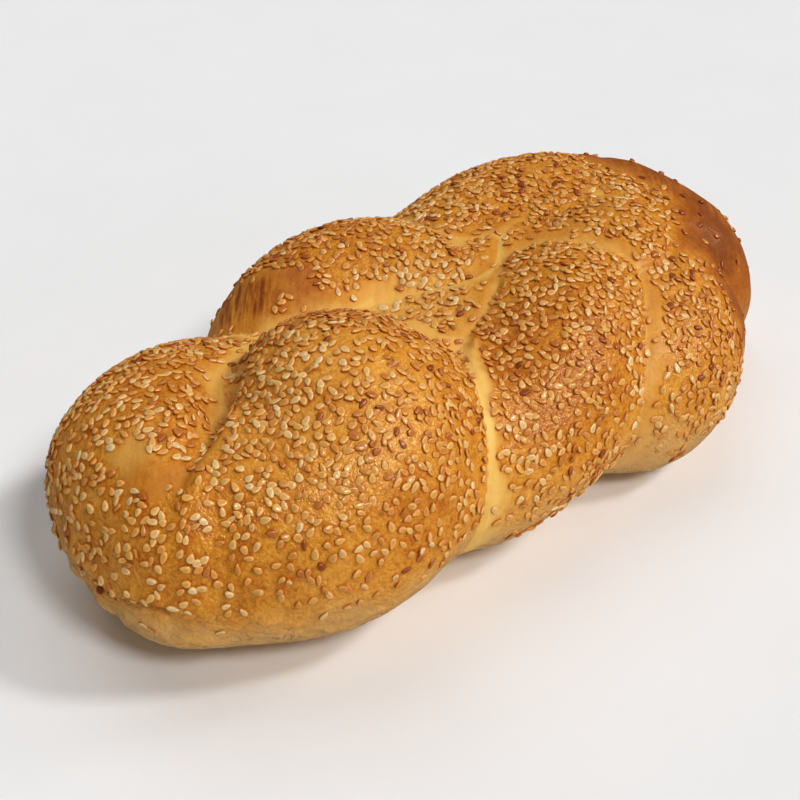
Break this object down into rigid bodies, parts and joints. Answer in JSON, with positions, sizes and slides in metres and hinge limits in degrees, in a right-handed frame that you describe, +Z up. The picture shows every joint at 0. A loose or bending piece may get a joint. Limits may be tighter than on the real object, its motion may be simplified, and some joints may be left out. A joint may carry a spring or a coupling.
{
  "type": "plaited sesame loaf",
  "caption": "Long oval white bread loaf of plump dough strands plaited over each other, with a glossy golden crust strewn with sesame seeds and a flat base.",
  "frame": {"origin": "centre of the loaf's box on the surface it stands on", "axes": "+X along the loaf towards the end with the tucked-in strand, +Z up"},
  "size_m": [0.2603, 0.137, 0.082],
  "materials": {
    "crust": "satin egg-washed crust",
    "sesame": "satin"
  },
  "bodies": {
    "root": {"loaf": "crust"}
  },
  "joints": []
}
